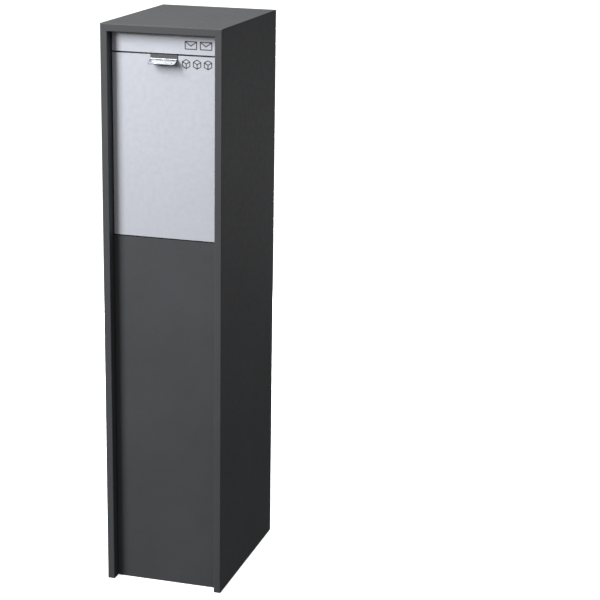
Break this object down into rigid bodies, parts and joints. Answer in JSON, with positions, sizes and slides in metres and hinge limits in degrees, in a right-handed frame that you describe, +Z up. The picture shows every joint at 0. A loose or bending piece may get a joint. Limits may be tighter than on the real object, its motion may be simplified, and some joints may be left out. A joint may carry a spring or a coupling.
{
  "type": "letter and parcel box",
  "caption": "Free-standing steel letter and parcel box with a letter flap, a tipping parcel flap with a pull handle, and a lockable rear door.",
  "frame": {"origin": "middle of the casing's footprint, on the floor", "axes": "+X to the right seen from the front, the front with the flaps faces -Y, the rear door faces +Y, +Z up"},
  "size_m": [0.3, 0.431, 1.4],
  "materials": {
    "anthracite_powder_coat": "fine-textured anthracite powder coat",
    "silver_paint": "smooth satin silver-grey paint",
    "brushed_aluminium": "brushed lengthways",
    "chrome": "polished",
    "zinc_steel": "zinc plated",
    "rubber": "matt",
    "nylon": "moulded"
  },
  "bodies": {
    "cabinet": {"side_panel_right": "anthracite_powder_coat", "side_panel_left": "anthracite_powder_coat", "top_panel": "anthracite_powder_coat", "base_plate": "zinc_steel", "front_lower_panel": "anthracite_powder_coat", "lower_panel_screw_bottom_right": "zinc_steel", "lower_panel_screw_bottom_left": "zinc_steel", "lower_panel_screw_top_right": "zinc_steel", "lower_panel_screw_top_left": "zinc_steel", "rear_plinth_panel": "anthracite_powder_coat", "compartment_floor": "anthracite_powder_coat", "floor_support_right": "anthracite_powder_coat", "floor_support_left": "anthracite_powder_coat", "floor_screw_front_right": "zinc_steel", "floor_screw_front_left": "zinc_steel", "floor_screw_rear_right": "zinc_steel", "floor_screw_rear_left": "zinc_steel", "door_stop_right": "anthracite_powder_coat", "door_stop_left": "anthracite_powder_coat", "door_stop_top": "anthracite_powder_coat", "letter_tray": "anthracite_powder_coat", "guard_plate": "anthracite_powder_coat", "guard_bracket_right": "anthracite_powder_coat", "guard_bracket_left": "anthracite_powder_coat", "guard_bolt_right": "zinc_steel", "guard_bolt_left": "zinc_steel", "opening_stop_right": "zinc_steel", "opening_stop_left": "zinc_steel", "flap_buffer_right": "rubber", "flap_buffer_left": "rubber", "letter_flap_bush_right": "nylon", "letter_flap_bush_left": "nylon", "parcel_flap_bush_right": "nylon", "parcel_flap_bush_left": "nylon", "door_bush_top": "nylon", "door_bush_bottom": "nylon"},
    "rear_door": {"door_pan": "anthracite_powder_coat", "door_stiffener": "anthracite_powder_coat", "door_pin_top": "zinc_steel", "door_pin_bottom": "zinc_steel", "door_buffer_top": "rubber", "door_buffer_bottom": "rubber", "lock_barrel": "chrome", "lock_nut": "zinc_steel"},
    "lock_cylinder": {"lock_plug": "chrome", "lock_cam": "zinc_steel", "cam_screw": "zinc_steel"},
    "letter_flap": {"letter_flap_panel": "silver_paint", "letter_flap_backplate": "zinc_steel", "letter_flap_axle": "zinc_steel"},
    "parcel_flap": {"parcel_flap_skin": "silver_paint", "parcel_flap_liner": "anthracite_powder_coat", "flap_cheek_right": "anthracite_powder_coat", "flap_cheek_left": "anthracite_powder_coat", "flap_pivot_right": "zinc_steel", "flap_pivot_left": "zinc_steel", "pull_handle": "brushed_aluminium", "handle_screw_right": "zinc_steel", "handle_screw_left": "zinc_steel"}
  },
  "joints": [
    {"name": "rear_door_hinge", "type": "hinge", "parent": "cabinet", "child": "rear_door", "pos_m": [0.122, 0.2035, 0.7585], "axis": [0, 0, -1], "range_deg": [0, 105]},
    {"name": "lock_turn", "type": "hinge", "parent": "rear_door", "child": "lock_cylinder", "pos_m": [-0.096, 0.2, 1.293], "axis": [0, 1, 0], "range_deg": [0, 90]},
    {"name": "letter_flap_hinge", "type": "hinge", "parent": "cabinet", "child": "letter_flap", "pos_m": [0, -0.1835, 1.3715], "axis": [1, 0, 0], "range_deg": [0, 60]},
    {"name": "parcel_flap_hinge", "type": "hinge", "parent": "cabinet", "child": "parcel_flap", "pos_m": [0, -0.1825, 0.899], "axis": [1, 0, 0], "range_deg": [0, 28]}
  ]
}
